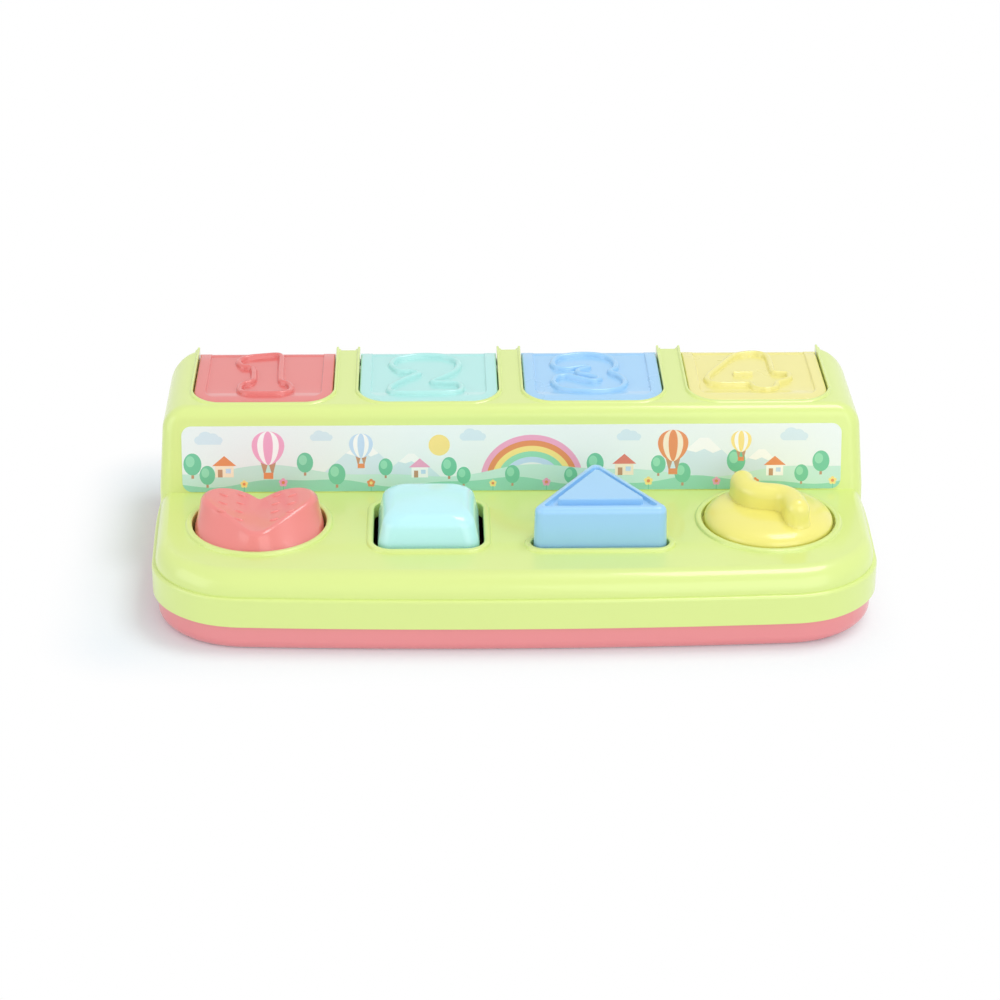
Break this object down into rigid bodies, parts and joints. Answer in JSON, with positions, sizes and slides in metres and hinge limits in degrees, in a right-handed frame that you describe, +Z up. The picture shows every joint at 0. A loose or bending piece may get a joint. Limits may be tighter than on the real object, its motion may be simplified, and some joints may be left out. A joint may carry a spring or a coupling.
{
  "type": "pop-up activity toy",
  "caption": "Low moulded pop-up toy: numbered spring lids hide small animal figures, and a rocker, square button, triangle button and twist dial each slide a latch that frees a lid.",
  "frame": {"origin": "middle of the footprint, on the table", "axes": "+X to the right along the row of lids, +Y to the back where the lids hinge, +Z up"},
  "size_m": [0.29, 0.15, 0.068],
  "materials": {
    "lime_plastic": "glossy moulded",
    "coral_plastic": "glossy moulded",
    "mint_plastic": "glossy moulded",
    "sky_plastic": "glossy moulded",
    "lemon_plastic": "glossy moulded",
    "grey_plastic": "fine matte",
    "label_film": "printed film",
    "steel": "drawn wire",
    "spring_steel": "spring wire",
    "bear_plastic": "soft moulded",
    "rabbit_plastic": "soft moulded",
    "cat_plastic": "soft moulded",
    "chick_plastic": "soft moulded"
  },
  "bodies": {
    "housing": {"upper_shell": "lime_plastic", "well_frame": "lime_plastic", "base_tray": "coral_plastic", "front_label": "label_film", "housing_screws": "steel", "rocker_axle": "steel", "rocker_springs": "spring_steel", "square_spring": "spring_steel", "triangle_spring": "spring_steel", "dial_spring": "spring_steel", "hinge_pin_1": "steel", "hinge_pin_2": "steel", "hinge_pin_3": "steel", "hinge_pin_4": "steel", "lid_spring_1": "spring_steel", "lid_spring_2": "spring_steel", "lid_spring_3": "spring_steel", "lid_spring_4": "spring_steel"},
    "lid_1": {"lid_1": "coral_plastic", "bear_figure": "bear_plastic"},
    "lid_2": {"lid_2": "mint_plastic", "rabbit_figure": "rabbit_plastic"},
    "lid_3": {"lid_3": "sky_plastic", "cat_figure": "cat_plastic"},
    "lid_4": {"lid_4": "lemon_plastic", "chick_figure": "chick_plastic"},
    "heart_rocker": {"heart_rocker": "coral_plastic"},
    "square_button": {"square_button": "mint_plastic"},
    "triangle_button": {"triangle_button": "sky_plastic"},
    "twist_dial": {"twist_dial": "lemon_plastic"},
    "latch_1": {"latch_1": "grey_plastic"},
    "latch_2": {"latch_2": "grey_plastic"},
    "latch_3": {"latch_3": "grey_plastic"},
    "latch_4": {"latch_4": "grey_plastic"}
  },
  "joints": [
    {"name": "lid_1_hinge", "type": "hinge", "parent": "housing", "child": "lid_1", "pos_m": [-0.10245, 0.0698, 0.0626], "axis": [-1, 0, 0], "range_deg": [0, 105], "deforming": ["lid_spring_1"]},
    {"name": "lid_2_hinge", "type": "hinge", "parent": "housing", "child": "lid_2", "pos_m": [-0.03415, 0.0698, 0.0626], "axis": [-1, 0, 0], "range_deg": [0, 105], "deforming": ["lid_spring_2"]},
    {"name": "lid_3_hinge", "type": "hinge", "parent": "housing", "child": "lid_3", "pos_m": [0.03415, 0.0698, 0.0626], "axis": [-1, 0, 0], "range_deg": [0, 105], "deforming": ["lid_spring_3"]},
    {"name": "lid_4_hinge", "type": "hinge", "parent": "housing", "child": "lid_4", "pos_m": [0.10245, 0.0698, 0.0626], "axis": [-1, 0, 0], "range_deg": [0, 105], "deforming": ["lid_spring_4"]},
    {"name": "heart_rock", "type": "hinge", "parent": "housing", "child": "heart_rocker", "pos_m": [-0.10245, -0.0235, 0.026], "axis": [0, 1, 0], "range_deg": [-7, 7], "stiffness_Nm_per_rad": 0.3, "deforming": ["rocker_springs"]},
    {"name": "square_press", "type": "slide", "parent": "housing", "child": "square_button", "axis": [0, 0, -1], "range_m": [0, 0.008], "stiffness_N_per_m": 250, "springref_m": -0.004, "deforming": ["square_spring"]},
    {"name": "triangle_press", "type": "slide", "parent": "housing", "child": "triangle_button", "axis": [0, 0, -1], "range_m": [0, 0.008], "stiffness_N_per_m": 250, "springref_m": -0.004, "deforming": ["triangle_spring"]},
    {"name": "dial_turn", "type": "hinge", "parent": "housing", "child": "twist_dial", "pos_m": [0.10245, -0.0235, 0.03], "axis": [0, 0, 1], "range_deg": [-30, 30], "stiffness_Nm_per_rad": 0.05, "deforming": ["dial_spring"]},
    {"name": "latch_1_slide", "type": "slide", "parent": "housing", "child": "latch_1", "axis": [1, 0, 0], "range_m": [-0.0026, 0.0026]},
    {"name": "latch_2_slide", "type": "slide", "parent": "housing", "child": "latch_2", "axis": [1, 0, 0], "range_m": [0, 0.008]},
    {"name": "latch_3_slide", "type": "slide", "parent": "housing", "child": "latch_3", "axis": [1, 0, 0], "range_m": [0, 0.008]},
    {"name": "latch_4_slide", "type": "slide", "parent": "housing", "child": "latch_4", "axis": [1, 0, 0], "range_m": [-0.0069, 0.0069]}
  ],
  "couplings": [
    {"joint": "latch_1_slide", "follows": "heart_rock", "m_per_rad": -0.021},
    {"joint": "latch_2_slide", "follows": "square_press", "ratio": 1},
    {"joint": "latch_3_slide", "follows": "triangle_press", "ratio": 1},
    {"joint": "latch_4_slide", "follows": "dial_turn", "m_per_rad": -0.013}
  ]
}
